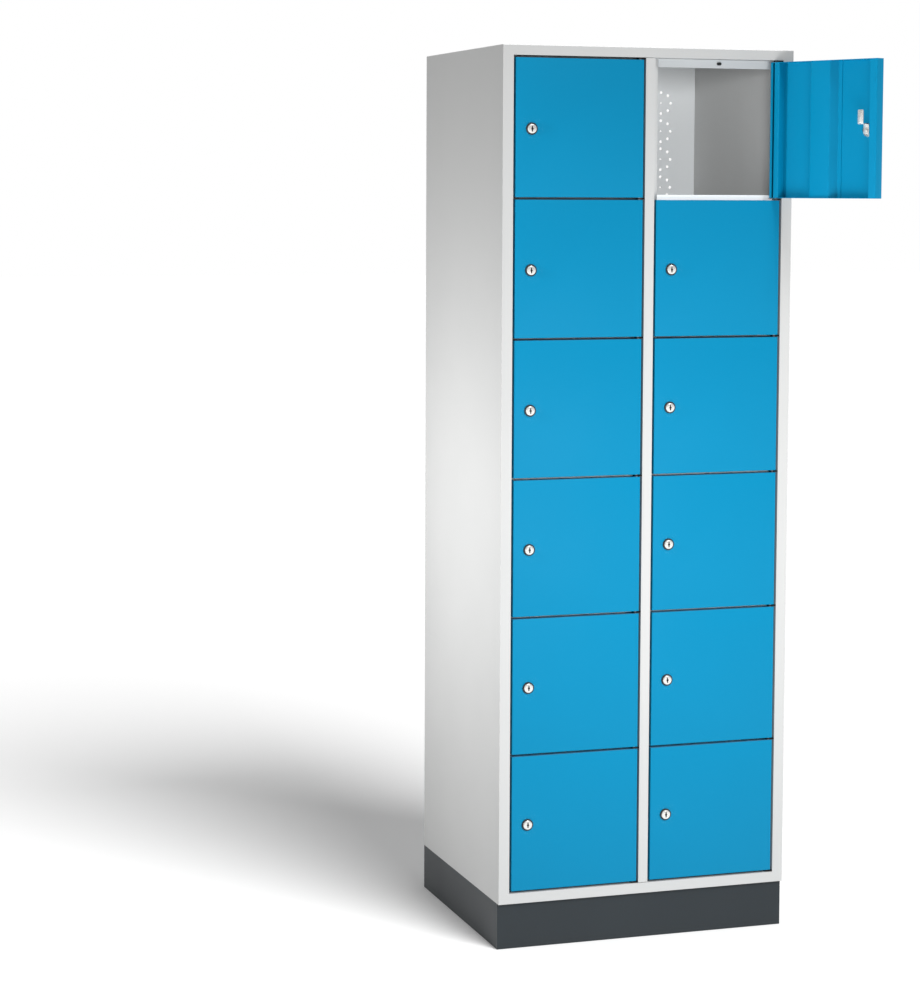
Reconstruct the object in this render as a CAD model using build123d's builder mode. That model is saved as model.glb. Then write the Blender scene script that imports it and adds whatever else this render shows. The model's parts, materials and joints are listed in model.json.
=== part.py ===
from build123d import *
import os

# Two-column steel compartment locker, six compartments a column, standing on a plinth.
# Frame: origin at the middle of the footprint on the floor, +Z up, front face towards -Y.

# ---- driving dimensions (mm) ----
width = 620.0
depth = 500.0
height = 1800.0
sheet = 1.0
rows = 6

plinth_height = 93.0
plinth_recess = 9.0
plinth_wall = 1.5
plinth_flange = 40.0

border_side = 22.0
border_top = 20.0
border_bottom = 21.0
post_width = 20.0
post_recess = 0.5
post_end_gap = 0.8

door_gap = 4.5
door_depth = 20.0
door_sheet = 1.0
door_fold = 1.2
hinge_inset = 6.0
hinge_setback = 6.0
open_angle = 115.0

stop_clearance = 2.0
stop_flange = 14.0
shelf_rise = 8.0
shelf_lip = 20.0
shelf_return = 14.0
top_rail = 17.0
lip_end_gap = 0.4

free_flange = 17.5
hinge_flange = 6.0
hat_near = 94.0
hat_far = 160.0
hat_top_near = 100.0
hat_top_far = 148.0
hat_depth = 14.0
hat_foot = 1.3
hat_bend = 0.6
angle_near = 10.0
angle_far = 22.0
angle_setback = 2.0

buffer_length = 10.0
buffer_height = 6.0
buffer_drop = 6.5
buffer_thickness = stop_clearance - 0.3

pin_radius = 2.5
pin_clearance = 0.05
pin_length = 12.0
bracket_thickness = 2.0
bracket_radius = 6.0
bracket_setback = 2.0

lock_inset = 33.0
lock_drop = 2.5
lock_body_radius = 9.5
lock_body_length = 8.0
lock_collar_radius = 11.75
lock_collar_length = 3.0
plug_head_radius = 9.2
plug_radius = 6.0
plug_proud = 5.0
plug_clearance = 0.05
plug_bevel = 0.8
key_slot_width = 2.4
key_slot_length = 11.0
key_slot_depth = 2.5
key_boss_radius = 2.4
nut_flats = 24.0
nut_length = 4.0
cam_width = 13.0
cam_sheet = 2.0
cam_reach = 39.5
cam_tail = 8.0
cam_crank = 13.0
cam_setback = 26.5
cam_corner = 1.5
screw_radius = 4.5
screw_length = 3.0
screw_recess_length = 6.0
screw_recess_width = 1.0
screw_recess_depth = 1.2

vent_ring_radius = 23.0
vent_hole_radius = 3.1
vent_middle_radius = 1.9
vent_count = 8
vent_rings = 4
vent_pitch = 61.4
vent_first_x = 90.0
vent_last_x = 229.0
vent_rise = 16.2

wall_hole_radius = 4.0
wall_hole_spacing = 300.0
wall_hole_drop = 38.0

foot_pad_radius = 20.0
foot_pad_height = 8.0
foot_pad_bevel = 3.0
foot_stem_radius = 5.0
foot_inset = 25.0

# ---- worked out from the above ----
front = -depth / 2
back = depth / 2
side = width / 2
body_height = height - plinth_height
opening_low = plinth_height + border_bottom
opening_high = height - border_top
opening_side = side - border_side
post_side = post_width / 2
door_width = opening_side - post_side - 2 * door_gap
door_height = (opening_high - opening_low - (rows + 1) * door_gap) / rows
row_pitch = door_height + door_gap
stop_front = front + door_depth + stop_clearance
inner_front = stop_front + sheet
post_depth = inner_front - front - post_recess
pivot_y = front + hinge_setback
mouth_right = (post_side + stop_flange, opening_side)
mouth_left = (-opening_side + stop_flange, -post_side)

os.makedirs("parts", exist_ok=True)


def save(piece, name):
    piece.part.label = name
    export_step(piece.part, f"parts/{name}.step")


def gap_level(row):
    """Height of the middle of the gap above door number row, counted from the top."""
    return opening_high - door_gap / 2 - row * row_pitch


def shelf_top(row):
    return gap_level(row) + shelf_rise


def block(x_range, y_range, z_range, mode=Mode.ADD, frame=Plane.XY):
    """Adds (or cuts) a rectangular sheet, given by its limits in a frame, to the piece being built."""
    middle = [(low + high) / 2 for low, high in (x_range, y_range, z_range)]
    size = [high - low for low, high in (x_range, y_range, z_range)]
    with Locations(frame.location * Location(tuple(middle))):
        Box(*size, mode=mode)


# ---- carcass: welded front frame of four borders, each folded back as a reveal ----
face_plane = Plane(origin=(0, front, 0), x_dir=(1, 0, 0), z_dir=(0, 1, 0))
opening_middle = (opening_low + opening_high) / 2
body_middle = (plinth_height + height - sheet) / 2

with BuildPart() as front_frame:
    with BuildSketch(face_plane):
        with Locations((0, -body_middle)):
            Rectangle(width, body_height - sheet)
        with Locations((0, -opening_middle)):
            Rectangle(2 * opening_side, opening_high - opening_low, mode=Mode.SUBTRACT)
    extrude(amount=sheet)
    with BuildSketch(face_plane.offset(sheet)):
        with Locations((0, -opening_middle)):
            Rectangle(2 * (opening_side + sheet), opening_high - opening_low + 2 * sheet)
            Rectangle(2 * opening_side, opening_high - opening_low, mode=Mode.SUBTRACT)
    extrude(amount=inner_front - front - sheet)
    stop_x = (-opening_side, -opening_side + stop_flange)
    block(stop_x, (stop_front, inner_front), (opening_low, opening_high))
save(front_frame, "front_frame")

# centre post: folded box section whose back web runs out as the stop for the right-hand doors
with BuildPart() as centre_post:
    with BuildSketch(Plane.XY.offset(opening_low + post_end_gap)):
        with Locations((0, (front + post_recess + inner_front) / 2)):
            Rectangle(post_width, post_depth)
            Rectangle(post_width - 2 * sheet, post_depth - 2 * sheet, mode=Mode.SUBTRACT)
        with Locations((post_side + stop_flange / 2, stop_front + sheet / 2)):
            Rectangle(stop_flange, sheet)
    extrude(amount=opening_high - opening_low - 2 * post_end_gap)
save(centre_post, "centre_post")

# flat outer panels
for name, low_x in (("side_panel_left", -side), ("side_panel_right", side - sheet)):
    with BuildPart() as side_panel:
        block((low_x, low_x + sheet), (front + sheet, back), (plinth_height, height - sheet))
    save(side_panel, name)

with BuildPart() as top_panel:
    block((-side, side), (front, back), (height - sheet, height))
    fillet(top_panel.edges().filter_by(Axis.Z), radius=door_fold)
save(top_panel, "top_panel")

# floor of the bottom compartments, folded down behind the lowest doors
floor_top = shelf_top(rows)
with BuildPart() as floor_panel:
    block((-side + sheet, side - sheet), (inner_front, back - sheet), (floor_top - sheet, floor_top))
    for low_x, high_x in (mouth_left, mouth_right):
        block(
            (low_x + lip_end_gap, high_x - lip_end_gap),
            (stop_front, inner_front),
            (opening_low, floor_top),
        )
    block(
        (-side + sheet, side - sheet),
        (back - 2 * sheet, back - sheet),
        (plinth_height, floor_top - sheet),
    )
save(floor_panel, "floor_panel")

# back panel, pierced behind every compartment with rings of ventilation holes, and for two wall fixings
back_plane = Plane(origin=(0, back - sheet, 0), x_dir=(1, 0, 0), z_dir=(0, 1, 0))
ring_centres = []
for row in range(rows):
    for ring in range(vent_rings):
        ring_z = shelf_top(row + 1) + vent_rise + ring * vent_pitch
        for ring_x in (-vent_last_x, -vent_first_x, vent_first_x, vent_last_x):
            ring_centres.append((ring_x, -ring_z))

with BuildPart() as back_panel:
    with BuildSketch(back_plane):
        with Locations((0, -body_middle)):
            Rectangle(width - 2 * sheet, body_height - sheet)
        with Locations(*ring_centres):
            Circle(vent_middle_radius, mode=Mode.SUBTRACT)
            with PolarLocations(vent_ring_radius, vent_count):
                Circle(vent_hole_radius, mode=Mode.SUBTRACT)
        with Locations((0, wall_hole_drop - height)):
            with GridLocations(wall_hole_spacing, 0, 2, 1):
                Circle(wall_hole_radius, mode=Mode.SUBTRACT)
    extrude(amount=sheet)
save(back_panel, "back_panel")

# upright wall between the two columns
with BuildPart() as centre_partition:
    block((-sheet / 2, sheet / 2), (inner_front, back - sheet), (floor_top, height - sheet))
save(centre_partition, "centre_partition")


# ---- shelves: trays with a deep front lip and shallow returns on the other sides ----
def make_shelf(name, walls, mouth, top):
    with BuildPart() as shelf:
        block(walls, (inner_front, back - sheet), (top - sheet, top))
        block(
            (mouth[0] + lip_end_gap, mouth[1] - lip_end_gap),
            (stop_front, inner_front),
            (top - shelf_lip, top),
        )
        block(walls, (back - 2 * sheet, back - sheet), (top - shelf_return, top - sheet))
        for wall_x in (walls[0], walls[1] - sheet):
            block(
                (wall_x, wall_x + sheet),
                (inner_front + shelf_lip, back - 2 * sheet),
                (top - shelf_return, top - sheet),
            )
    save(shelf, name)


for row in range(1, rows):
    make_shelf(f"shelf_left_{row}", (-side + sheet, -sheet / 2), mouth_left, shelf_top(row))
    make_shelf(f"shelf_right_{row}", (sheet / 2, side - sheet), mouth_right, shelf_top(row))

# angle under the top border that the top doors close against
with BuildPart() as top_stop_rails:
    for low_x, high_x in (mouth_left, mouth_right):
        rail_x = (low_x + lip_end_gap, high_x - lip_end_gap)
        rail_low = opening_high - top_rail
        block(rail_x, (stop_front, inner_front), (rail_low, opening_high - post_end_gap))
        block(rail_x, (inner_front, inner_front + shelf_return), (rail_low, rail_low + sheet))
save(top_stop_rails, "top_stop_rails")

# ---- hinge brackets and pins: one bracket in every gap, on the hinge side of each column ----
hinge_walls = (-post_side, opening_side)

with BuildPart() as hinge_brackets:
    for wall_x in hinge_walls:
        pivot_x = wall_x - door_gap - hinge_inset
        for level in range(rows + 1):
            with BuildSketch(Plane.XY.offset(gap_level(level) - bracket_thickness / 2)):
                with Locations((pivot_x, pivot_y + bracket_setback)):
                    Circle(bracket_radius)
                with Locations(((pivot_x + wall_x) / 2, pivot_y + bracket_setback)):
                    Rectangle(wall_x - pivot_x, 2 * bracket_radius)
                with Locations((pivot_x, pivot_y)):
                    Circle(pin_radius, mode=Mode.SUBTRACT)
            extrude(amount=bracket_thickness)
save(hinge_brackets, "hinge_brackets")

with BuildPart() as hinge_pins:
    for wall_x in hinge_walls:
        for level in range(rows + 1):
            low_half = pin_length / 2 if level < rows else bracket_thickness / 2
            high_half = pin_length / 2 if level > 0 else bracket_thickness / 2
            with BuildSketch(Plane.XY.offset(gap_level(level) - low_half)):
                with Locations((wall_x - door_gap - hinge_inset, pivot_y)):
                    Circle(pin_radius)
            extrude(amount=low_half + high_half)
save(hinge_pins, "hinge_pins")

# ---- rubber buffers on the stops, one behind the top edge of each door ----
with BuildPart() as door_buffers:
    for low_x, high_x in (mouth_left, mouth_right):
        for row in range(rows):
            with BuildSketch(Plane(origin=(0, stop_front, 0), x_dir=(1, 0, 0), z_dir=(0, -1, 0))):
                with Locations(((low_x + high_x) / 2, gap_level(row) - buffer_drop)):
                    SlotOverall(buffer_length, buffer_height)
            extrude(amount=buffer_thickness)
save(door_buffers, "door_buffers")

# ---- plinth: folded ring with flanges turned in at the top, and the levelling feet inside it ----
plinth_front = front + plinth_recess
plinth_middle_y = (plinth_front + back) / 2
plinth_depth = back - plinth_front

with BuildPart() as plinth:
    with BuildSketch():
        with Locations((0, plinth_middle_y)):
            Rectangle(width, plinth_depth)
            Rectangle(width - 2 * plinth_wall, plinth_depth - 2 * plinth_wall, mode=Mode.SUBTRACT)
    extrude(amount=plinth_height)
    with BuildSketch(Plane.XY.offset(plinth_height - plinth_wall)):
        with Locations((0, plinth_middle_y)):
            Rectangle(width, plinth_depth)
            Rectangle(width - 2 * plinth_flange, plinth_depth - 2 * plinth_flange, mode=Mode.SUBTRACT)
    extrude(amount=plinth_wall)
save(plinth, "plinth")

foot_x = side - foot_inset
foot_spread_y = plinth_depth - 2 * foot_inset

with BuildPart() as levelling_feet:
    with BuildSketch():
        with Locations((0, plinth_middle_y)):
            with GridLocations(2 * foot_x, foot_spread_y, 2, 2):
                Circle(foot_pad_radius)
    extrude(amount=foot_pad_height)
    chamfer(levelling_feet.faces().group_by(Axis.Z)[-1].edges(), length=foot_pad_bevel)
    with BuildSketch(Plane.XY.offset(foot_pad_height)):
        with Locations((0, plinth_middle_y)):
            with GridLocations(2 * foot_x, foot_spread_y, 2, 2):
                Circle(foot_stem_radius)
    extrude(amount=plinth_height - plinth_wall - foot_pad_height)
save(levelling_feet, "levelling_feet")

# ---- doors, each built in its own leaf frame: origin on the hinge axis at the door's bottom edge,
# local x from the free edge towards the hinge edge, local y from the front to the back ----
leaf_front = -hinge_setback
leaf_back = leaf_front + door_depth
leaf_free = hinge_inset - door_width
lock_local_x = leaf_free + lock_inset
lock_height = door_height / 2 - lock_drop


def leaf_plane(wall_x, row, angle):
    turned = Vector(1, 0, 0).rotate(Axis.Z, angle)
    bottom = gap_level(row) - door_gap / 2 - door_height
    return Plane(
        origin=(wall_x - door_gap - hinge_inset, pivot_y, bottom),
        x_dir=turned,
        z_dir=(0, 0, 1),
    )


def lock_plane(leaf, local_y):
    """Plane square to the lock's axis, its local x towards the hinge, its local y down."""
    centre = leaf.from_local_coords((lock_local_x, local_y, lock_height))
    return Plane(origin=centre, x_dir=leaf.x_dir, z_dir=leaf.y_dir)


def make_door(name, leaf):
    inner_x = (leaf_free + door_sheet, hinge_inset - door_sheet)
    inner_z = (door_sheet, door_height - door_sheet)
    skin_back = leaf_front + door_sheet
    flange_front = leaf_back - door_sheet
    with BuildPart() as door:
        # pressed pan: skin, four returns, and a flange turned in along each upright edge
        block((leaf_free, hinge_inset), (leaf_front, leaf_back), (0, door_height), frame=leaf)
        fillet(door.edges().filter_by(Axis.Z), radius=door_fold)
        block(inner_x, (skin_back, flange_front), inner_z, Mode.SUBTRACT, leaf)
        mouth_x = (leaf_free + free_flange, hinge_inset - hinge_flange)
        block(mouth_x, (flange_front, leaf_back), inner_z, Mode.SUBTRACT, leaf)
        with BuildSketch(leaf):
            Circle(pin_radius + pin_clearance)
        extrude(amount=door_height, mode=Mode.SUBTRACT)
        with BuildSketch(lock_plane(leaf, leaf_front)):
            Circle(lock_body_radius)
        extrude(amount=door_sheet, mode=Mode.SUBTRACT)
        # upright top-hat stiffener, spot welded to the skin
        with BuildSketch(leaf.offset(door_sheet)):
            with BuildLine():
                Polyline(
                    (hinge_inset - hat_near, skin_back),
                    (hinge_inset - hat_top_near, skin_back + hat_depth),
                    (hinge_inset - hat_top_far, skin_back + hat_depth),
                    (hinge_inset - hat_far, skin_back),
                    (hinge_inset - hat_far + hat_foot, skin_back),
                    (hinge_inset - hat_top_far + hat_bend, skin_back + hat_depth - door_sheet),
                    (hinge_inset - hat_top_near - hat_bend, skin_back + hat_depth - door_sheet),
                    (hinge_inset - hat_near - hat_foot, skin_back),
                    close=True,
                )
            make_face()
        extrude(amount=door_height - 2 * door_sheet)
        # narrow angle along the hinge edge
        angle_x = (hinge_inset - angle_far, hinge_inset - angle_near)
        angle_y = leaf_back - angle_setback
        block((angle_x[0], angle_x[0] + door_sheet), (skin_back, angle_y), inner_z, frame=leaf)
        block(angle_x, (angle_y, angle_y + door_sheet), inner_z, frame=leaf)
    save(door, name)


def make_lock_body(name, leaf):
    collar_front = leaf_front - lock_collar_length
    with BuildPart() as lock_body:
        with BuildSketch(lock_plane(leaf, collar_front)):
            Circle(lock_collar_radius)
        extrude(amount=lock_collar_length)
        with BuildSketch(lock_plane(leaf, leaf_front)):
            Circle(lock_body_radius)
        extrude(amount=lock_body_length)
        with BuildSketch(lock_plane(leaf, collar_front)):
            Circle(plug_radius + plug_clearance)
        extrude(amount=lock_collar_length + lock_body_length, mode=Mode.SUBTRACT)
        with BuildSketch(lock_plane(leaf, collar_front)):
            Circle(plug_head_radius + plug_clearance)
        extrude(amount=lock_collar_length - 1, mode=Mode.SUBTRACT)
        # fixing nut, drawn up against the inside of the skin
        with BuildSketch(lock_plane(leaf, leaf_front + door_sheet)):
            RegularPolygon(radius=nut_flats / 2, side_count=6, major_radius=False)
            Circle(lock_body_radius, mode=Mode.SUBTRACT)
        extrude(amount=nut_length)
    save(lock_body, name)


def make_lock_cam(name, leaf):
    head_front = leaf_front - plug_proud
    head_back = leaf_front - 1 - plug_clearance
    hub_front = leaf_front + lock_body_length + plug_clearance
    tongue_front = leaf_front + cam_setback
    with BuildPart() as lock_cam:
        with BuildSketch(lock_plane(leaf, head_front)):
            Circle(plug_head_radius)
        extrude(amount=head_back - head_front)
        outward = Axis(leaf.origin, leaf.y_dir)
        chamfer(lock_cam.faces().sort_by(outward)[0].edges(), length=plug_bevel)
        with BuildSketch(lock_plane(leaf, head_front)):
            Rectangle(key_slot_width, key_slot_length)
            Circle(key_boss_radius)
        extrude(amount=key_slot_depth, mode=Mode.SUBTRACT)
        with BuildSketch(lock_plane(leaf, head_back)):
            Circle(plug_radius)
        extrude(amount=hub_front - head_back)
        # cranked steel cam, standing up from the axis
        with BuildSketch(lock_plane(leaf, hub_front)):
            Circle(cam_tail)
            with Locations((0, -cam_crank / 2)):
                Rectangle(cam_width, cam_crank)
        extrude(amount=cam_sheet)
        with BuildSketch(lock_plane(leaf, hub_front)):
            with Locations((0, -cam_crank + cam_sheet / 2)):
                Rectangle(cam_width, cam_sheet)
        extrude(amount=tongue_front + cam_sheet - hub_front)
        with BuildSketch(lock_plane(leaf, tongue_front)):
            with Locations((0, -(cam_reach + cam_crank - cam_sheet) / 2)):
                RectangleRounded(cam_width, cam_reach - cam_crank + cam_sheet, cam_corner)
        extrude(amount=cam_sheet)
        # screw that holds the cam on the plug
        with BuildSketch(lock_plane(leaf, hub_front + cam_sheet)):
            Circle(screw_radius)
        extrude(amount=screw_length)
        with BuildSketch(lock_plane(leaf, hub_front + cam_sheet + screw_length)):
            Rectangle(screw_recess_length, screw_recess_width)
            Rectangle(screw_recess_width, screw_recess_length)
        extrude(amount=-screw_recess_depth, mode=Mode.SUBTRACT)
    save(lock_cam, name)


for column, wall_x in (("left", hinge_walls[0]), ("right", hinge_walls[1])):
    for row in range(rows):
        swung = open_angle if (column == "right" and row == 0) else 0
        leaf = leaf_plane(wall_x, row, swung)
        make_door(f"door_{column}_{row + 1}", leaf)
        make_lock_body(f"lock_body_{column}_{row + 1}", leaf)
        make_lock_cam(f"lock_cam_{column}_{row + 1}", leaf)
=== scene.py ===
import bmesh
import bpy
import json
from math import cos, pi, radians, sin
from mathutils import Euler, Matrix, Vector


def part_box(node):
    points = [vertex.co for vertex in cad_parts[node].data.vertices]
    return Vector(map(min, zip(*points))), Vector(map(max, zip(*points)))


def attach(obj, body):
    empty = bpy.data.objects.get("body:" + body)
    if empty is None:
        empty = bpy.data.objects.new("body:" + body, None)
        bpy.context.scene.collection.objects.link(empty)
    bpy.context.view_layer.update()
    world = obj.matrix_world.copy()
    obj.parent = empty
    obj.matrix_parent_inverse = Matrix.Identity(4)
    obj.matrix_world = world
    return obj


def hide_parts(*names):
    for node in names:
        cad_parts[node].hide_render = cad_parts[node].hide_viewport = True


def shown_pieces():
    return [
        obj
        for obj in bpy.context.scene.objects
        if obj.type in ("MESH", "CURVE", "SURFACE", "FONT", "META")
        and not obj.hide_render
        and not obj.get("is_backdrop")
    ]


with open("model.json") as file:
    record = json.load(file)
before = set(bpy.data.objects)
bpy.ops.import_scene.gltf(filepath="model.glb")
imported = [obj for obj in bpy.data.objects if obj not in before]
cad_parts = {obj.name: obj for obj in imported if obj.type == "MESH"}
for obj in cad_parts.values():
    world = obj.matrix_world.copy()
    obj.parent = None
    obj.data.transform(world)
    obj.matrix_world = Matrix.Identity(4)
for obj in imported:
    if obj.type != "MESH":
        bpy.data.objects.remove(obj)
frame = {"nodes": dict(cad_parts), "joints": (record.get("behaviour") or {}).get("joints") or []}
nodes = frame["nodes"]
joint_of = {joint["child"]: joint for joint in frame["joints"]}
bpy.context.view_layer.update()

# ---------------------------------------------------------------------------------------------
# Powder-coated sheet steel. Every sheet of the locker is sprayed with powder and baked, which leaves
# a fine orange-peel skin and slight clouding of the colour. A little dust settles on flat tops.
# ---------------------------------------------------------------------------------------------


def new_group(name, inputs, outputs):
    group = bpy.data.node_groups.new(name, "ShaderNodeTree")
    for label, kind, value in inputs:
        socket = group.interface.new_socket(name=label, in_out="INPUT", socket_type=kind)
        socket.default_value = value
    for label, kind in outputs:
        group.interface.new_socket(name=label, in_out="OUTPUT", socket_type=kind)
    tree = group.nodes
    return group, tree.new("NodeGroupInput"), tree.new("NodeGroupOutput")


def new_math(tree, operation, a, b, links):
    """A math node on two inputs, each a number or a socket; gives its output."""
    node = tree.new("ShaderNodeMath")
    node.operation = operation
    for index, value in enumerate((a, b)):
        if isinstance(value, (int, float)):
            node.inputs[index].default_value = value
        else:
            links.new(value, node.inputs[index])
    return node.outputs[0]


def new_noise(tree, links, coords, scale, detail):
    """Noise in the object's own metres; a scale of 100 makes grains about 10 mm across."""
    node = tree.new("ShaderNodeTexNoise")
    node.inputs["Detail"].default_value = detail
    links.new(coords, node.inputs["Vector"])
    if isinstance(scale, (int, float)):
        node.inputs["Scale"].default_value = scale
    else:
        links.new(scale, node.inputs["Scale"])
    return node.outputs["Fac"]


def new_blend(tree, links, factor, first, second):
    """A blend of two colours; the mix node keeps its colour inputs at places 6 and 7."""
    node = tree.new("ShaderNodeMix")
    node.data_type = "RGBA"
    for place, value in ((0, factor), (6, first), (7, second)):
        socket = node.inputs[place]
        if isinstance(value, bpy.types.NodeSocket):
            links.new(value, socket)
        else:
            socket.default_value = value
    return node.outputs[2]


coat_skin, coat_in, coat_out = new_group(
    "coat_skin",
    [
        ("Paint", "NodeSocketColor", (0.7, 0.7, 0.7, 1)),
        ("Shade", "NodeSocketColor", (0.6, 0.6, 0.6, 1)),
        ("Peel Scale", "NodeSocketFloat", 900.0),
        ("Gloss Low", "NodeSocketFloat", 0.34),
        ("Gloss High", "NodeSocketFloat", 0.46),
    ],
    [("Color", "NodeSocketColor"), ("Roughness", "NodeSocketFloat"), ("Height", "NodeSocketFloat")],
)
tree, links = coat_skin.nodes, coat_skin.links
coords = tree.new("ShaderNodeTexCoord").outputs["Object"]
cloud = new_noise(tree, links, coords, 5.0, 2.0)
fleck = new_noise(tree, links, coords, 260.0, 2.0)
mottle = new_math(tree, "MULTIPLY_ADD", cloud, 0.75, links)
links.new(new_math(tree, "MULTIPLY", fleck, 0.25, links), mottle.node.inputs[2])
clouded = new_blend(tree, links, mottle, coat_in.outputs["Paint"], coat_in.outputs["Shade"])
links.new(clouded, coat_out.inputs["Color"])
sheen = tree.new("ShaderNodeMapRange")
links.new(cloud, sheen.inputs["Value"])
links.new(coat_in.outputs["Gloss Low"], sheen.inputs["To Min"])
links.new(coat_in.outputs["Gloss High"], sheen.inputs["To Max"])
links.new(sheen.outputs["Result"], coat_out.inputs["Roughness"])
peel = new_noise(tree, links, coords, coat_in.outputs["Peel Scale"], 2.0)
links.new(peel, coat_out.inputs["Height"])

dust_film, dust_in, dust_out = new_group(
    "dust_film",
    [
        ("Color", "NodeSocketColor", (0.7, 0.7, 0.7, 1)),
        ("Dust", "NodeSocketColor", (0.62, 0.60, 0.56, 1)),
        ("Amount", "NodeSocketFloat", 0.25),
    ],
    [("Color", "NodeSocketColor")],
)
tree, links = dust_film.nodes, dust_film.links
facing = tree.new("ShaderNodeSeparateXYZ")
links.new(tree.new("ShaderNodeNewGeometry").outputs["Normal"], facing.inputs[0])
above = new_math(tree, "MAXIMUM", facing.outputs["Z"], 0.0, links)
upward = new_math(tree, "POWER", above, 6.0, links)
speck = new_noise(tree, links, tree.new("ShaderNodeTexCoord").outputs["Object"], 34.0, 5.0)
settled = new_math(tree, "MULTIPLY", upward, speck, links)
drift = new_math(tree, "MULTIPLY", settled, dust_in.outputs["Amount"], links)
dusted = new_blend(tree, links, drift, dust_in.outputs["Color"], dust_in.outputs["Dust"])
links.new(dusted, dust_out.inputs["Color"])


def place_group(material, group, values):
    """Puts a node group in a material, with a number or a socket for each named input."""
    node = material.node_tree.nodes.new("ShaderNodeGroup")
    node.node_tree = group
    for label, value in values.items():
        if isinstance(value, bpy.types.NodeSocket):
            material.node_tree.links.new(value, node.inputs[label])
        else:
            node.inputs[label].default_value = value
    return node


def new_material(name, roughness, metallic=0.0, specular=0.5):
    material = bpy.data.materials.new(name)
    material.use_nodes = True
    shader = material.node_tree.nodes["Principled BSDF"]
    shader.inputs["Roughness"].default_value = roughness
    shader.inputs["Metallic"].default_value = metallic
    shader.inputs["Specular IOR Level"].default_value = specular
    return material, shader


def add_bump(material, shader, height, strength, distance):
    bump = material.node_tree.nodes.new("ShaderNodeBump")
    bump.inputs["Strength"].default_value = strength
    bump.inputs["Distance"].default_value = distance
    material.node_tree.links.new(height, bump.inputs["Height"])
    material.node_tree.links.new(bump.outputs["Normal"], shader.inputs["Normal"])


def powder_coat(name, paint, shade, dust_amount=0.25):
    """Sprayed and baked colour with its orange-peel skin and a little settled dust."""
    material, shader = new_material(name, 0.4, specular=0.3)
    skin = place_group(material, coat_skin, {"Paint": (*paint, 1), "Shade": (*shade, 1)})
    dusty = place_group(material, dust_film, {"Color": skin.outputs["Color"], "Amount": dust_amount})
    links = material.node_tree.links
    links.new(dusty.outputs["Color"], shader.inputs["Base Color"])
    links.new(skin.outputs["Roughness"], shader.inputs["Roughness"])
    add_bump(material, shader, skin.outputs["Height"], 0.12, 0.0002)
    return material


def finish_node(name, material):
    """Gives a piece that keeps its modelled shape its finish."""
    mesh = nodes[name].data
    mesh.materials.clear()
    mesh.materials.append(material)


body_coat = powder_coat("body_coat_light_grey", (0.50, 0.502, 0.498), (0.468, 0.473, 0.470))

# ---------------------------------------------------------------------------------------------
# Carcass sheets: the front frame, centre post, side panels and top, folded or cut from 1 mm steel
# and welded into one case, then coated together in light grey.
# ---------------------------------------------------------------------------------------------
for name in ("front_frame", "centre_post", "side_panel_left", "side_panel_right", "top_panel"):
    finish_node(name, body_coat)

# ---------------------------------------------------------------------------------------------
# Inner sheets: floor, back panel pierced for ventilation, partition, shelf trays and the stop rails
# under the top. All are thin steel sheet in a lighter, cooler grey, and gather a little more dust.
# ---------------------------------------------------------------------------------------------
inner_coat = powder_coat("inner_coat_light_grey", (0.62, 0.637, 0.645), (0.575, 0.597, 0.61), 0.3)
for name in ("floor_panel", "back_panel", "centre_partition", "top_stop_rails"):
    finish_node(name, inner_coat)
for name in sorted(nodes):
    if name.startswith("shelf_"):
        finish_node(name, inner_coat)

# ---------------------------------------------------------------------------------------------
# Plinth: a ring folded from thicker sheet than the case, set back a little under the front, which
# carries the case clear of the floor. It is coated in dark anthracite.
# ---------------------------------------------------------------------------------------------
plinth_coat = powder_coat(
    "plinth_coat_anthracite", (0.024, 0.030, 0.034), (0.018, 0.023, 0.027), 0.22
)
finish_node("plinth", plinth_coat)

# ---------------------------------------------------------------------------------------------
# Small steel fittings: the hinge brackets are blackened steel, and the hinge pins and levelling feet
# are bright zinc plate.
# ---------------------------------------------------------------------------------------------

metal_grain, grain_in, grain_out = new_group(
    "metal_grain",
    [
        ("Light", "NodeSocketColor", (0.7, 0.7, 0.7, 1)),
        ("Dark", "NodeSocketColor", (0.5, 0.5, 0.5, 1)),
        ("Stretch", "NodeSocketVector", (60.0, 900.0, 60.0)),
        ("Rough Low", "NodeSocketFloat", 0.22),
        ("Rough High", "NodeSocketFloat", 0.4),
    ],
    [("Color", "NodeSocketColor"), ("Roughness", "NodeSocketFloat"), ("Height", "NodeSocketFloat")],
)
tree, links = metal_grain.nodes, metal_grain.links
stretched = tree.new("ShaderNodeVectorMath")
stretched.operation = "MULTIPLY"
links.new(tree.new("ShaderNodeTexCoord").outputs["Object"], stretched.inputs[0])
links.new(grain_in.outputs["Stretch"], stretched.inputs[1])
brush = new_noise(tree, links, stretched.outputs[0], 4.0, 4.0)
brushed = new_blend(tree, links, brush, grain_in.outputs["Dark"], grain_in.outputs["Light"])
links.new(brushed, grain_out.inputs["Color"])
spread = tree.new("ShaderNodeMapRange")
links.new(brush, spread.inputs["Value"])
links.new(grain_in.outputs["Rough Low"], spread.inputs["To Min"])
links.new(grain_in.outputs["Rough High"], spread.inputs["To Max"])
links.new(spread.outputs["Result"], grain_out.inputs["Roughness"])
links.new(brush, grain_out.inputs["Height"])


def plated_metal(name, light, dark, stretch, rough_low, rough_high, metallic=1.0):
    """Brushed plating; one that has dulled scatters some light, so it is less than fully metallic."""
    material, shader = new_material(name, rough_low, metallic)
    values = {
        "Light": (*light, 1),
        "Dark": (*dark, 1),
        "Stretch": stretch,
        "Rough Low": rough_low,
        "Rough High": rough_high,
    }
    grain = place_group(material, metal_grain, values)
    links = material.node_tree.links
    links.new(grain.outputs["Color"], shader.inputs["Base Color"])
    links.new(grain.outputs["Roughness"], shader.inputs["Roughness"])
    add_bump(material, shader, grain.outputs["Height"], 0.08, 0.0001)
    return material


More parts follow.
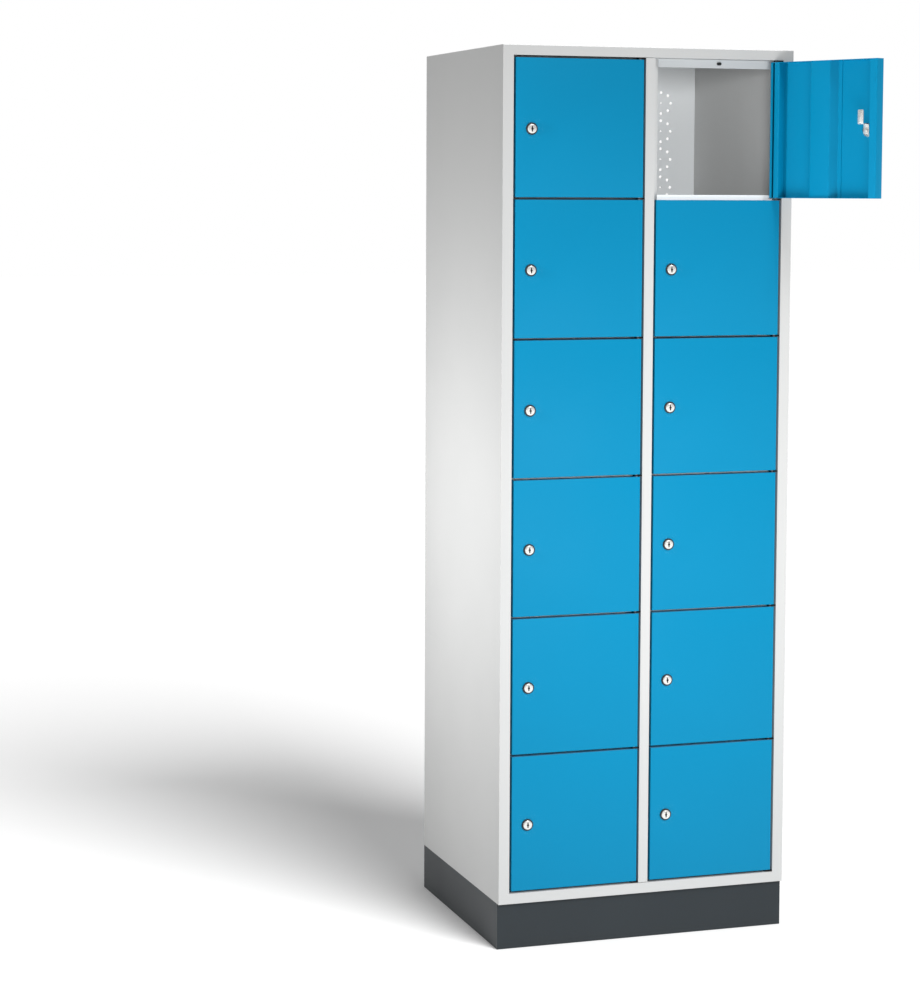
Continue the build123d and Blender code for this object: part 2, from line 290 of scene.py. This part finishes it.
zinc_plate = plated_metal(
    "zinc_plate", (0.66, 0.67, 0.69), (0.50, 0.52, 0.55), (500, 500, 80), 0.28, 0.45
)
black_oxide = plated_metal(
    "black_oxide", (0.035, 0.035, 0.037), (0.018, 0.018, 0.02), (300, 300, 300), 0.45, 0.6
)
finish_node("hinge_brackets", black_oxide)
finish_node("hinge_pins", zinc_plate)
finish_node("levelling_feet", zinc_plate)

# ---------------------------------------------------------------------------------------------
# Door buffers: small flat oval pads of black rubber, moulded and fixed to the stops, one behind the
# top edge of each door. They quieten the door as it closes.
# ---------------------------------------------------------------------------------------------


def plain_skin(name, roughness, specular, values, bump_strength, bump_distance):
    """A surface with the coat's fine skin and its own colours, without dust."""
    material, shader = new_material(name, roughness, specular=specular)
    skin = place_group(material, coat_skin, values)
    material.node_tree.links.new(skin.outputs["Color"], shader.inputs["Base Color"])
    material.node_tree.links.new(skin.outputs["Roughness"], shader.inputs["Roughness"])
    add_bump(material, shader, skin.outputs["Height"], bump_strength, bump_distance)
    return material


rubber_look = {
    "Paint": (0.012, 0.012, 0.013, 1),
    "Shade": (0.03, 0.03, 0.03, 1),
    "Gloss Low": 0.6,
    "Gloss High": 0.85,
}
buffer_rubber = plain_skin("buffer_rubber_black", 0.75, 0.3, rubber_look, 0.3, 0.0002)
finish_node("door_buffers", buffer_rubber)

# ---------------------------------------------------------------------------------------------
# Doors: each is one sheet pressed into a shallow pan with rounded folds and an inner flange down each
# upright edge, stiffened inside by a spot-welded top-hat and a narrow angle, and coated sky blue.
# ---------------------------------------------------------------------------------------------
mm = 0.001
door_thick = 20 * mm
door_sheet = 1 * mm
door_edge_radius = 1.2 * mm
door_low, door_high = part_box("door_left_2")
door_wide = door_high[0] - door_low[0]
door_tall = door_high[2] - door_low[2]
hinge_offset = 6 * mm


def leaf_matrix(body):
    """The door's own frame at rest: origin on the hinge axis at its foot, x to its hinge edge."""
    joint = joint_of[body]
    swing = radians(-min(joint["range_deg"]))
    pivot = Vector(joint["pos_m"])
    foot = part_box(body)[0][2]
    return Matrix.Translation((pivot.x, pivot.y, foot)) @ Matrix.Rotation(swing, 4, "Z")


def link_mesh(name, build):
    """Makes an object from a bmesh and puts it in the scene."""
    mesh = bpy.data.meshes.new(name)
    bmesh.ops.recalc_face_normals(build, faces=build.faces)
    build.to_mesh(mesh)
    build.free()
    piece = bpy.data.objects.new(name, mesh)
    bpy.context.scene.collection.objects.link(piece)
    return piece


def add_block(build, low, high):
    """A box between two corners."""
    size = Vector(high) - Vector(low)
    middle = (Vector(high) + Vector(low)) / 2
    matrix = Matrix.Translation(middle) @ Matrix.Diagonal((*size, 1))
    bmesh.ops.create_cube(build, size=1, matrix=matrix)


def add_prism(build, outline, low, high, axis="Z"):
    """A prism on a closed outline; axis Z stands it up, axis Y lays its outline in x and z."""
    def point(u, v, w):
        return (u, v, w) if axis == "Z" else (u, w, v)
    bottom = [build.verts.new(point(u, v, low)) for u, v in outline]
    top = [build.verts.new(point(u, v, high)) for u, v in outline]
    count = len(outline)
    build.faces.new(bottom)
    build.faces.new(top)
    for i in range(count):
        build.faces.new((bottom[i], bottom[(i + 1) % count], top[(i + 1) % count], top[i]))


def bake(piece):
    """Applies a piece's modifiers to its mesh."""
    depsgraph = bpy.context.evaluated_depsgraph_get()
    mesh = bpy.data.meshes.new_from_object(piece.evaluated_get(depsgraph))
    piece.modifiers.clear()
    old = piece.data
    piece.data = mesh
    bpy.data.meshes.remove(old)


def carve(piece, cutter, operation="DIFFERENCE"):
    """Cuts one piece with another, which is used up."""
    modifier = piece.modifiers.new("carve", "BOOLEAN")
    modifier.operation = operation
    modifier.solver = "EXACT"
    modifier.object = cutter
    bpy.context.view_layer.update()
    bake(piece)
    bpy.data.objects.remove(cutter)


crease_angle = radians(35)


def smooth_by_angle(piece):
    """Shades a piece smooth and keeps the edges past the crease angle sharp."""
    for polygon in piece.data.polygons:
        polygon.use_smooth = True
    piece.data.set_sharp_from_angle(angle=crease_angle)


def rounded_path(corners, thickness, bend, steps=5):
    """Closed outline of a sheet folded along an open path, with a round bend at each inner corner."""
    left, right = [], []
    for i, corner in enumerate(corners):
        here = Vector(corner)
        before = (here - Vector(corners[i - 1])).normalized() if i else None
        after = (Vector(corners[i + 1]) - here).normalized() if i + 1 < len(corners) else None
        if before is None or after is None:
            along = after or before
            normal = Vector((-along.y, along.x))
            left.append(here + normal * thickness / 2)
            right.append(here - normal * thickness / 2)
            continue
        turn = before.angle_signed(after)
        reach = bend * abs(sin(turn / 2) / cos(turn / 2))
        start = here - before * reach
        toward = Vector((-before.y, before.x)) * (-1 if turn > 0 else 1)
        centre = start + toward * bend
        for step in range(steps + 1):
            arm = (start - centre).copy()
            arm.rotate(Matrix.Rotation(-turn * step / steps, 2))
            outward = arm.normalized()
            side = -1 if turn > 0 else 1
            left.append(centre + outward * (bend - side * thickness / 2))
            right.append(centre + outward * (bend + side * thickness / 2))
    return [tuple(p) for p in left] + [tuple(p) for p in reversed(right)]


free_edge = hinge_offset - door_wide
skin_inner = -hinge_offset + door_sheet
pan_back = -hinge_offset + door_thick

pan = bmesh.new()
add_block(pan, (free_edge, -hinge_offset, 0), (hinge_offset, pan_back, door_tall))


def stands(edge):
    """An upright edge of the pan or of the hollow inside it."""
    return abs(edge.verts[0].co.z - edge.verts[1].co.z) > 10 * mm


def on_face(edge):
    """An edge of the pan's outer face."""
    return all(abs(vert.co.y + hinge_offset) < 0.01 * mm for vert in edge.verts)


outer_edges = [edge for edge in pan.edges if stands(edge) or on_face(edge)]
bmesh.ops.bevel(
    pan, geom=outer_edges, offset=door_edge_radius, segments=4, profile=0.5, affect="EDGES"
)
door_pan = link_mesh("door_pan", pan)

hollow = bmesh.new()
add_block(
    hollow,
    (free_edge + door_sheet, skin_inner, door_sheet),
    (hinge_offset - door_sheet, pan_back - door_sheet, door_tall - door_sheet),
)
corner_edges = [edge for edge in hollow.edges if stands(edge)]
bmesh.ops.bevel(
    hollow, geom=corner_edges, offset=door_sheet, segments=3, profile=0.5, affect="EDGES"
)
carve(door_pan, link_mesh("pan_hollow", hollow))

free_flange = 17.5 * mm
hinge_flange = 6 * mm
mouth = bmesh.new()
add_block(
    mouth,
    (free_edge + free_flange, pan_back - 2 * door_sheet, door_sheet),
    (hinge_offset - hinge_flange, pan_back + door_sheet, door_tall - door_sheet),
)
carve(door_pan, link_mesh("pan_mouth", mouth))

lock_inset = 33 * mm
lock_height = joint_of["lock_cam_left_2"]["pos_m"][2] - door_low[2]
lock_middle = (free_edge + lock_inset, -hinge_offset, lock_height)
lock_hole_radius = 9.5 * mm
pin_hole_radius = 2.55 * mm
lock_hole = Matrix.Translation(lock_middle) @ Matrix.Rotation(radians(90), 4, "X")
pin_hole = Matrix.Translation((0, 0, door_tall / 2))
drill = bmesh.new()
for hole, radius, depth, segments in (
    (lock_hole, lock_hole_radius, 4 * mm, 48),
    (pin_hole, pin_hole_radius, door_tall + 10 * mm, 32),
):
    bmesh.ops.create_cone(
        drill,
        cap_ends=True,
        segments=segments,
        radius1=radius,
        radius2=radius,
        depth=depth,
        matrix=hole,
    )
carve(door_pan, link_mesh("pan_drill", drill))

stiffeners = bmesh.new()
hat_foot = skin_inner + door_sheet / 2
hat_crown = skin_inner + 13.5 * mm
hat_bend = 2.2 * mm
hat_line = [
    (-79 * mm, hat_foot),
    (-88 * mm, hat_foot),
    (-94 * mm, hat_crown),
    (-142 * mm, hat_crown),
    (-154 * mm, hat_foot),
    (-163 * mm, hat_foot),
]
hat_outline = rounded_path(hat_line, door_sheet, hat_bend)
add_prism(stiffeners, hat_outline, door_sheet, door_tall - door_sheet)
angle_level = pan_back - 1.5 * mm
angle_stand = -15.5 * mm
angle_bend = 1.6 * mm
angle_line = [(-4 * mm, angle_level), (angle_stand, angle_level), (angle_stand, skin_inner)]
angle_outline = rounded_path(angle_line, door_sheet, angle_bend)
add_prism(stiffeners, angle_outline, door_sheet, door_tall - door_sheet)
stiffener_piece = link_mesh("door_stiffeners", stiffeners)

joined = bmesh.new()
joined.from_mesh(door_pan.data)
joined.from_mesh(stiffener_piece.data)
door_master = link_mesh("door_master", joined)
bpy.data.objects.remove(door_pan)
bpy.data.objects.remove(stiffener_piece)
smooth_by_angle(door_master)

# Keys and key rings rub the paint round each lock, so fine pale scratches show in the coat there.
key_rub, rub_in, rub_out = new_group(
    "key_rub",
    [
        ("Color", "NodeSocketColor", (0.1, 0.3, 0.6, 1)),
        ("Rubbed", "NodeSocketColor", (0.2, 0.4, 0.7, 1)),
        ("Centre", "NodeSocketVector", (0.0, 0.0, 0.0)),
        ("Reach", "NodeSocketFloat", 0.03),
        ("Amount", "NodeSocketFloat", 0.35),
    ],
    [("Color", "NodeSocketColor")],
)
tree, links = key_rub.nodes, key_rub.links
coords = tree.new("ShaderNodeTexCoord").outputs["Object"]
span = tree.new("ShaderNodeVectorMath")
span.operation = "DISTANCE"
links.new(coords, span.inputs[0])
links.new(rub_in.outputs["Centre"], span.inputs[1])
near = tree.new("ShaderNodeMapRange")
near.inputs["To Min"].default_value = 1.0
near.inputs["To Max"].default_value = 0.0
links.new(span.outputs["Value"], near.inputs["Value"])
links.new(rub_in.outputs["Reach"], near.inputs["From Max"])
scratch = tree.new("ShaderNodeMapRange")
scratch.inputs["From Min"].default_value = 0.58
scratch.inputs["From Max"].default_value = 0.66
links.new(new_noise(tree, links, coords, 420.0, 6.0), scratch.inputs["Value"])
marks = new_math(tree, "MULTIPLY", near.outputs["Result"], scratch.outputs["Result"], links)
worn = new_math(tree, "MULTIPLY", marks, rub_in.outputs["Amount"], links)
rubbed = new_blend(tree, links, worn, rub_in.outputs["Color"], rub_in.outputs["Rubbed"])
links.new(rubbed, rub_out.inputs["Color"])

door_coat, door_shader = new_material("door_coat_blue", 0.4, specular=0.14)
door_paint = {"Paint": (0.0, 0.197, 0.365, 1), "Shade": (0.0, 0.180, 0.338, 1)}
door_skin = place_group(door_coat, coat_skin, {**door_paint, "Gloss Low": 0.32, "Gloss High": 0.42})
door_dust = place_group(door_coat, dust_film, {"Color": door_skin.outputs["Color"], "Amount": 0.2})
door_rub = place_group(
    door_coat,
    key_rub,
    {"Color": door_dust.outputs["Color"], "Rubbed": (0.10, 0.36, 0.60, 1), "Centre": lock_middle},
)
door_coat.node_tree.links.new(door_rub.outputs["Color"], door_shader.inputs["Base Color"])
door_coat.node_tree.links.new(door_skin.outputs["Roughness"], door_shader.inputs["Roughness"])
add_bump(door_coat, door_shader, door_skin.outputs["Height"], 0.12, 0.0002)
door_master.data.materials.append(door_coat)

places = [f"{column}_{row}" for column in ("left", "right") for row in range(1, 7)]


def hang_copies(master, label, body_prefix, offset):
    """Puts a copy of a master piece on every door, each in the place of its plain node."""
    for place in places:
        piece = bpy.data.objects.new(f"{label}{place}_made", master.data)
        bpy.context.scene.collection.objects.link(piece)
        piece.matrix_world = leaf_matrix(f"door_{place}") @ offset
        bpy.context.view_layer.update()
        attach(piece, body_prefix + place)
        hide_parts(label + place)
    bpy.data.objects.remove(master)


hang_copies(door_master, "door_", "door_", Matrix.Identity(4))

# ---------------------------------------------------------------------------------------------
# Lock bodies: turned and threaded barrels of dull nickel-plated zinc. A round collar, finished black,
# shows on the outside of the door, and a hexagon nut draws the barrel up against the inside.
# ---------------------------------------------------------------------------------------------
lock_offset = Matrix.Translation(lock_middle)
collar_radius = 11.75 * mm
collar_length = 3 * mm
barrel_radius = 9.5 * mm
barrel_length = 8 * mm
plug_radius = 6 * mm
plug_head_radius = 9.2 * mm
plug_play = 0.05 * mm
nut_flats = 24 * mm
nut_length = 4 * mm
nut_chamfer = 1.1 * mm
nut_chamfer_width = 1.9 * mm
thread_start = 1.5 * mm + nut_length
thread_end = barrel_length - 1.0 * mm
thread_pitch = 1 * mm
thread_depth = 0.55 * mm


def turned_piece(name, profile, sides=64, closed=True):
    """A piece turned on a lathe from a profile of (distance along the axis, radius)."""
    build = bmesh.new()
    rings = []
    for along, radius in profile:
        if radius == 0:
            rings.append([build.verts.new((0, along, 0))])
        else:
            turns = [2 * pi * i / sides for i in range(sides)]
            rings.append([build.verts.new((radius * cos(t), along, radius * sin(t))) for t in turns])
    following = rings[1:] + rings[:1] if closed else rings[1:]
    for first, second in zip(rings, following):
        for i in range(sides):
            j = (i + 1) % sides
            corners = [
                first[i % len(first)],
                first[j % len(first)],
                second[j % len(second)],
                second[i % len(second)],
            ]
            corners = list(dict.fromkeys(corners))
            if len(corners) > 2:
                build.faces.new(corners)
    return link_mesh(name, build)


threads = []
along = thread_start
while along < thread_end:
    threads += [(along, barrel_radius), (along + thread_pitch / 2, barrel_radius - thread_depth)]
    along += thread_pitch
barrel_profile = [
    (-collar_length + 0.5 * mm, collar_radius),
    (-0.25 * mm, collar_radius),
    (0, collar_radius - 0.25 * mm),
    (0, barrel_radius - 0.05 * mm),
    *threads,
    (barrel_length - 0.6 * mm, barrel_radius - 0.1 * mm),
    (barrel_length, barrel_radius - 0.8 * mm),
    (barrel_length, plug_radius + plug_play),
    (-collar_length + 2 * mm, plug_radius + plug_play),
    (-collar_length + 2 * mm, plug_head_radius + plug_play),
    (-collar_length + 0.2 * mm, plug_head_radius + plug_play),
    (-collar_length, plug_head_radius + 0.3 * mm),
    (-collar_length, collar_radius - 0.7 * mm),
    (-collar_length + 0.15 * mm, collar_radius - 0.25 * mm),
]
lock_barrel = turned_piece("lock_barrel", barrel_profile)

nut = bmesh.new()
nut_corner = nut_flats / 2 / cos(pi / 6)
hexagon = [(nut_corner * cos(pi * i / 3), nut_corner * sin(pi * i / 3)) for i in range(6)]
add_prism(nut, hexagon, door_sheet, door_sheet + nut_length, axis="Y")
lock_nut = link_mesh("lock_nut", nut)
nut_turning = [
    (0, 0),
    (0, nut_corner),
    (door_sheet + nut_length - nut_chamfer, nut_corner),
    (door_sheet + nut_length, nut_corner - nut_chamfer_width),
    (door_sheet + nut_length, 0),
]
carve(lock_nut, turned_piece("nut_turning", nut_turning, closed=False), "INTERSECT")
nut_bore = [(0, 0), (0, barrel_radius), (10 * mm, barrel_radius), (10 * mm, 0)]
carve(lock_nut, turned_piece("nut_bore", nut_bore, closed=False))

joined = bmesh.new()
joined.from_mesh(lock_barrel.data)
joined.from_mesh(lock_nut.data)
lock_body_master = link_mesh("lock_body_master", joined)
bpy.data.objects.remove(lock_barrel)
bpy.data.objects.remove(lock_nut)
smooth_by_angle(lock_body_master)
dull_nickel = plated_metal(
    "dull_nickel", (0.55, 0.54, 0.51), (0.34, 0.33, 0.31), (90, 700, 90), 0.25, 0.42
)
# The collar's own black; the same material is also used as painted shade inside the key slots.
collar_and_slot_shade_look = {
    "Paint": (0.012, 0.013, 0.015, 1),
    "Shade": (0.022, 0.023, 0.025, 1),
    "Gloss Low": 0.35,
    "Gloss High": 0.5,
}
collar_black_and_slot_shade = plain_skin("collar_black_and_slot_shade", 0.42, 0.4, collar_and_slot_shade_look, 0.1, 0.0001)
lock_body_master.data.materials.append(dull_nickel)
lock_body_master.data.materials.append(collar_black_and_slot_shade)
collar_back = 0.05 * mm
for polygon in lock_body_master.data.polygons:
    polygon.material_index = 1 if polygon.center.y < collar_back else 0
hang_copies(lock_body_master, "lock_body_", "door_", lock_offset)

# ---------------------------------------------------------------------------------------------
# Lock plugs with their cams: the plug is turned and nickel plated, with an upright key slot whose
# inside faces are painted black as painted shade, and behind the door it carries a cranked,
# pressed-steel cam and its cross-head screw.
# ---------------------------------------------------------------------------------------------
plug_proud = 5 * mm
plug_shoulder = -1.05 * mm
hub_front = barrel_length + 0.05 * mm
cam_sheet = 2 * mm
cam_half_width = 6.5 * mm
cam_tail = 8 * mm
cam_crank = 12 * mm
cam_back = 27.5 * mm
cam_reach = 39.5 * mm
cam_bend = 1.6 * mm
cam_corner_radius = 2.2 * mm
slot_half_width = 1.2 * mm
slot_half_length = 5.5 * mm
slot_depth = 2.5 * mm
key_mouth_radius = 2.4 * mm
key_mouth_depth = 1.6 * mm

plug_profile = [
    (-plug_proud, 0),
    (-plug_proud, plug_head_radius - 1.3 * mm),
    (-plug_proud + 0.3 * mm, plug_head_radius - 0.5 * mm),
    (-plug_proud + 1.0 * mm, plug_head_radius),
    (plug_shoulder, plug_head_radius),
    (plug_shoulder, plug_radius),
    (hub_front, plug_radius),
    (hub_front, 0),
]
lock_plug = turned_piece("lock_plug", plug_profile, closed=False)
slot = bmesh.new()
slot_floor = -plug_proud + slot_depth
cut_front = -10 * mm
add_block(
    slot,
    (-slot_half_width, cut_front, -slot_half_length),
    (slot_half_width, slot_floor, slot_half_length),
)
carve(lock_plug, link_mesh("key_slot", slot))
mouth_floor = -plug_proud + key_mouth_depth
mouth_profile = [
    (cut_front, 0),
    (cut_front, key_mouth_radius),
    (mouth_floor, key_mouth_radius),
    (mouth_floor, 0),
]
carve(lock_plug, turned_piece("key_mouth", mouth_profile, sides=32, closed=False))

cam_side = bmesh.new()
cam_line = [
    (hub_front + cam_sheet / 2, -cam_tail),
    (hub_front + cam_sheet / 2, cam_crank),
    (cam_back, cam_crank),
    (cam_back, cam_reach),
]
outline = rounded_path(cam_line, cam_sheet, cam_bend)
low = [cam_side.verts.new((-cam_half_width, y, z)) for y, z in outline]
high = [cam_side.verts.new((cam_half_width, y, z)) for y, z in outline]
cam_side.faces.new(low)
cam_side.faces.new(high)
for i in range(len(outline)):
    j = (i + 1) % len(outline)
    cam_side.faces.new((low[i], low[j], high[j], high[i]))


def at_cam_end(edge):
    """A short edge through the sheet's thickness, at the cam's tip or tail."""
    through = abs(edge.verts[0].co.y - edge.verts[1].co.y) > 0.75 * cam_sheet
    lowest = min(vert.co.z for vert in edge.verts)
    highest = max(vert.co.z for vert in edge.verts)
    return through and (lowest > cam_reach - mm or highest < -cam_tail + mm)


corners = [edge for edge in cam_side.edges if at_cam_end(edge)]
bmesh.ops.bevel(
    cam_side, geom=corners, offset=cam_corner_radius, segments=5, profile=0.5, affect="EDGES"
)
lock_tongue = link_mesh("lock_tongue", cam_side)
edge_round = lock_tongue.modifiers.new("edge_round", "BEVEL")
edge_round.width = 0.2 * mm
edge_round.segments = 2
edge_round.limit_method = "ANGLE"
bpy.context.view_layer.update()
bake(lock_tongue)

screw_face = hub_front + cam_sheet
screw_profile = [
    (screw_face, 0),
    (screw_face, 4.3 * mm),
    (screw_face + 1.2 * mm, 4.5 * mm),
    (screw_face + 2.1 * mm, 3.9 * mm),
    (screw_face + 2.8 * mm, 2.4 * mm),
    (screw_face + 3 * mm, 0),
]
lock_screw = turned_piece("lock_screw", screw_profile, sides=48, closed=False)
cross_arm = 2.7 * mm
cross_half_width = 0.5 * mm
cross_floor = screw_face + 1.6 * mm
cross_top = screw_face + 5 * mm
for half_x, half_z in ((cross_arm, cross_half_width), (cross_half_width, cross_arm)):
    cross = bmesh.new()
    add_block(cross, (-half_x, cross_floor, -half_z), (half_x, cross_top, half_z))
    carve(lock_screw, link_mesh("screw_cross", cross))

joined = bmesh.new()
for part in (lock_plug, lock_tongue, lock_screw):
    joined.from_mesh(part.data)
    bpy.data.objects.remove(part)
lock_cam_master = link_mesh("lock_cam_master", joined)
smooth_by_angle(lock_cam_master)
bright_nickel = plated_metal(
    "bright_nickel", (0.84, 0.83, 0.80), (0.74, 0.73, 0.70), (90, 90, 900), 0.2, 0.36, metallic=0.7
)
lock_cam_master.data.materials.append(bright_nickel)
lock_cam_master.data.materials.append(collar_black_and_slot_shade)
# The faces sunk inside the key slot take the black material. This is painted shade for the slot's
# depth, not a colour of the plug.
for polygon in lock_cam_master.data.polygons:
    across, along, up = polygon.center
    sunk = -plug_proud + 0.2 * mm < along < slot_floor + 0.2 * mm
    in_mouth = abs(across) < 2.5 * mm and abs(up) < slot_half_length + 0.1 * mm
    polygon.material_index = 1 if sunk and in_mouth else 0
hang_copies(lock_cam_master, "lock_cam_", "lock_cam_", lock_offset)

# ---------------------------------------------------------------------------------------------
# Studio: a pale floor in a white surround. Two suns from the front right, one for the locker and a
# broader one for the floor, throw the shadow back and to the left. Softboxes fill in each side, the
# top, the open compartment and the doors, and each lamp is flagged to the pieces that it lights.
# ---------------------------------------------------------------------------------------------
floor_reach = 40.0
floor_gap = 0.0005
floor_build = bmesh.new()
bmesh.ops.create_grid(floor_build, x_segments=1, y_segments=1, size=floor_reach)
floor = link_mesh("studio_floor", floor_build)
floor.location.z = -floor_gap
floor_paint, floor_shader = new_material("studio_floor_white", 0.9, 0.0, 0.1)
floor_shader.inputs["Base Color"].default_value = (0.9, 0.9, 0.9, 1)
floor_shader.inputs["Emission Color"].default_value = (1, 1, 1, 1)
floor_shader.inputs["Emission Strength"].default_value = 0.14
floor.data.materials.append(floor_paint)
floor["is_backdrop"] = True

scene = bpy.context.scene
scene.view_settings.view_transform = "Standard"
surround = bpy.data.worlds.new("studio_surround")
surround.use_nodes = True
sky = surround.node_tree
dim = sky.nodes["Background"]
dim.inputs["Color"].default_value = (1, 1, 1, 1)
dim.inputs["Strength"].default_value = 0.24
clear = sky.nodes.new("ShaderNodeBackground")
clear.inputs["Color"].default_value = (1, 1, 1, 1)
seen = sky.nodes.new("ShaderNodeMixShader")
sky.links.new(sky.nodes.new("ShaderNodeLightPath").outputs["Is Camera Ray"], seen.inputs[0])
sky.links.new(dim.outputs[0], seen.inputs[1])
sky.links.new(clear.outputs[0], seen.inputs[2])
sky.links.new(seen.outputs[0], sky.nodes["World Output"].inputs["Surface"])
scene.world = surround


def add_lamp(light, spot, aim, energy, lit, glossy):
    """Hangs a lamp and aims it, flagged off from every piece that isn't in its list."""
    light.energy = energy
    name = light.name
    lamp = bpy.data.objects.new(name, light)
    lamp.location = spot
    lamp.rotation_mode = "QUATERNION"
    lamp.rotation_quaternion = (Vector(aim) - Vector(spot)).to_track_quat("-Z", "Y")
    lamp.visible_camera = False
    lamp.visible_glossy = glossy
    scene.collection.objects.link(lamp)
    receivers = bpy.data.collections.new(f"{name}_receivers")
    for piece in lit:
        receivers.objects.link(piece)
    lamp.light_linking.receiver_collection = receivers


def add_sun(name, energy, spread, lit):
    """A sun on the key's bearing; a wider spread, in degrees, gives softer shadows."""
    light = bpy.data.lights.new(name, "SUN")
    light.angle = radians(spread)
    add_lamp(light, key_spot, (0, 0, 0), energy, lit, glossy=True)


def add_softbox(name, spot, aim, watts, side, lit, glossy=False):
    """A square softbox; most are kept out of reflections."""
    light = bpy.data.lights.new(name, "AREA")
    light.shape = "RECTANGLE"
    light.size = side
    light.size_y = side
    add_lamp(light, spot, aim, watts, lit, glossy)


key_bearing = radians(19)
key_height = radians(40)
key_distance = 6.0
key_reach = cos(key_height)
key_arm = Vector((sin(key_bearing) * key_reach, -cos(key_bearing) * key_reach, sin(key_height)))
key_spot = key_arm * key_distance
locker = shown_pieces()
inside_names = (
    "back_panel",
    "centre_partition",
    "side_panel_right",
    "top_panel",
    "shelf_right_1",
)
inside = [nodes[name] for name in inside_names]
leaves = [piece for piece in locker if piece.name.endswith("_made")]
add_sun("key_sun", 1.6, 16, locker)
add_sun("floor_sun", 3.9, 32, [floor])
add_softbox("front_softbox", (0.02, -1.45, 0.80), (0.02, -0.25, 0.80), 13, 0.7, locker)
add_softbox("left_softbox", (-1.05, -0.05, 0.88), (-0.31, 0, 0.88), 6.5, 0.4, locker, glossy=True)
add_softbox("right_softbox", (1.9, 0, 1.0), (0.31, 0, 0.9), 12, 1.2, locker)
add_softbox("rear_softbox", (0, 2.2, 1.1), (0, 0.25, 0.9), 15, 1.2, locker)
add_softbox("top_softbox", (0, 0.1, 3.2), (0, 0.1, 1.8), 12, 0.8, [nodes["top_panel"]])
add_softbox("compartment_softbox", (-0.9, -3.2, 1.75), (0.17, 0.2, 1.62), 88, 0.5, inside)
add_softbox("leaf_softbox", (-1.5, -0.32, 1.64), (0.33, -0.37, 1.64), 24, 0.3, leaves)

camera_data = bpy.data.cameras.new("camera")
camera = bpy.data.objects.new("camera", camera_data)
scene.collection.objects.link(camera)
scene.camera = camera
focal = 2575.0
image_wide = 920.0
lens_drop = 100.0
camera_data.sensor_fit = "HORIZONTAL"
camera_data.sensor_width = 36.0
camera_data.lens = focal * camera_data.sensor_width / image_wide
camera_data.shift_y = -lens_drop / image_wide
camera_data.clip_end = 100
camera.location = (-1.955, -5.021, 1.512)
yaw = radians(18.10)
pitch = radians(4.61)
roll = radians(-0.24)
ahead = Vector((sin(yaw) * cos(pitch), cos(yaw) * cos(pitch), -sin(pitch)))
camera.rotation_mode = "QUATERNION"
camera.rotation_quaternion = ahead.to_track_quat("-Z", "Y") @ Euler((0, 0, -roll)).to_quaternion()

bpy.context.view_layer.update()
